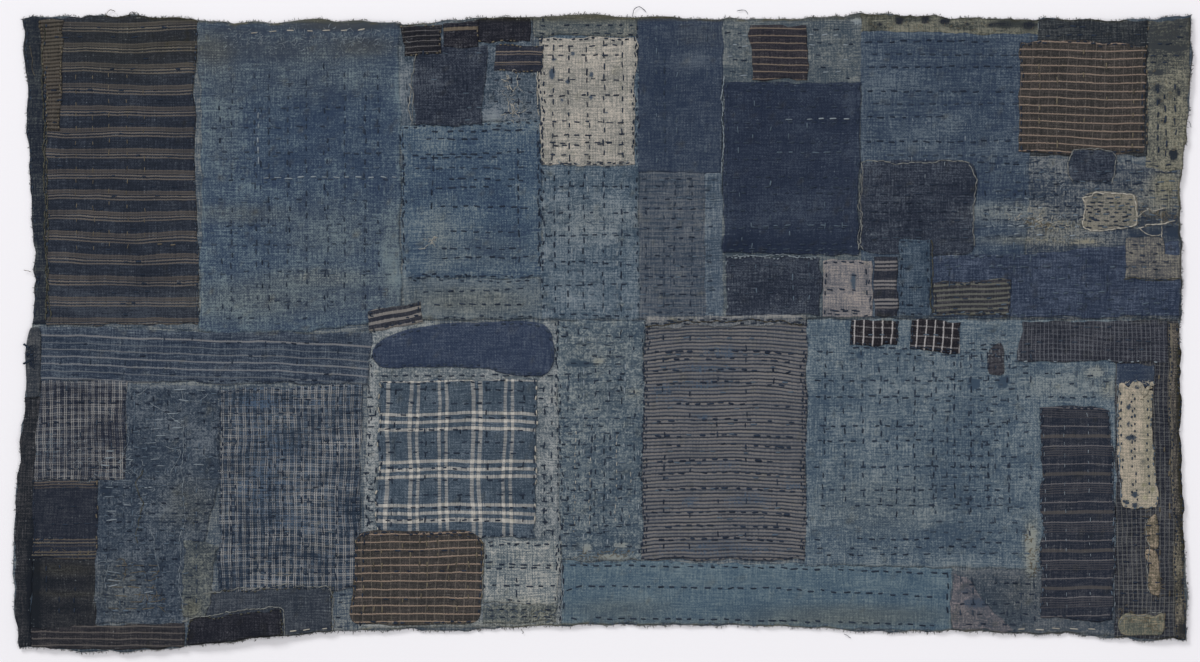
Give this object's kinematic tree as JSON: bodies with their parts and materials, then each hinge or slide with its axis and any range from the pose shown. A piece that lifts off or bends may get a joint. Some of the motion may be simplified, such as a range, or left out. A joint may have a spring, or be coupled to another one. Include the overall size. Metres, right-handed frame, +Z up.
{
  "type": "boro patched cloth",
  "caption": "Flat rectangular cotton cloth of two seamed loom widths covered all over with hand-sewn indigo, striped and checked patches, lying face up.",
  "frame": {"origin": "on the surface the cloth lies on, under the middle of its outline", "axes": "+X along the cloth's length to the right of the picture, +Y across it towards the picture's top edge, +Z up out of the sewn face"},
  "size_m": [1.1776, 0.6358, 0.0071],
  "materials": {
    "ground_cotton": "worn plain weave, patched over",
    "deep_indigo": "dense plain weave, dark dye",
    "mid_indigo": "plain weave, faded dye",
    "pale_indigo": "thin plain weave, washed pale",
    "worn_indigo": "rubbed plain weave with broken threads",
    "charcoal_cotton": "dense plain weave, almost black dye",
    "cream_cotton": "undyed plain weave, stained",
    "beige_cotton": "faded undyed plain weave",
    "striped_cotton": "yarn-dyed stripe",
    "grey_striped_cotton": "yarn-dyed fine stripe",
    "brown_lined_cotton": "yarn-dyed brown ground with pale lines",
    "fine_checked_cotton": "yarn-dyed small check",
    "plaid_cotton": "yarn-dyed open plaid"
  },
  "bodies": {
    "root": {"far_loom_width": "ground_cotton", "near_loom_width": "ground_cotton", "left_band_upper": "charcoal_cotton", "left_band_lower": "charcoal_cotton", "right_check_band": "fine_checked_cotton", "striped_end": "striped_cotton", "pale_west_field": "pale_indigo", "worn_north_field": "worn_indigo", "west_two_field": "mid_indigo", "moss_north_strip": "worn_indigo", "middle_north_field": "pale_indigo", "dark_north_field": "mid_indigo", "grey_line_field": "grey_striped_cotton", "pale_narrow_strip": "pale_indigo", "pale_north_field": "pale_indigo", "east_field": "mid_indigo", "dark_north_east": "charcoal_cotton", "worn_east_field": "worn_indigo", "tan_corner": "beige_cotton", "lined_west_strip": "striped_cotton", "fine_check_west": "fine_checked_cotton", "navy_west_scrap": "striped_cotton", "olive_west_scrap": "charcoal_cotton", "worn_west_upper": "worn_indigo", "worn_west_lower": "worn_indigo", "tan_line_hem": "striped_cotton", "fine_check_middle": "fine_checked_cotton", "blue_hem_strip": "mid_indigo", "plaid_ground": "pale_indigo", "mottled_field": "pale_indigo", "grey_stripe_field": "grey_striped_cotton", "pale_east_field": "pale_indigo", "teal_hem_strip": "mid_indigo", "south_east_field": "worn_indigo", "tick_strip": "striped_cotton", "charcoal_north": "charcoal_cotton", "black_north_scrap": "charcoal_cotton", "cream_patch": "cream_cotton", "orange_line_patch": "brown_lined_cotton", "deep_indigo_field": "deep_indigo", "charcoal_low": "charcoal_cotton", "beige_scrap": "beige_cotton", "bold_stripe_scrap": "striped_cotton", "charcoal_rounded": "charcoal_cotton", "long_indigo": "deep_indigo", "brown_check_north": "brown_lined_cotton", "cream_east_scrap": "cream_cotton", "three_line_scrap": "striped_cotton", "pill_patch": "deep_indigo", "plaid_patch": "plaid_cotton", "pale_grey_scrap": "pale_indigo", "black_hem_scrap": "charcoal_cotton", "small_check_left": "striped_cotton", "small_check_right": "striped_cotton", "dark_check_strip": "fine_checked_cotton", "cream_east_strip": "cream_cotton", "navy_line_patch": "striped_cotton", "blue_scrap": "mid_indigo", "olive_stripe_scrap": "striped_cotton", "brown_line_patch": "brown_lined_cotton"}
  },
  "joints": []
}
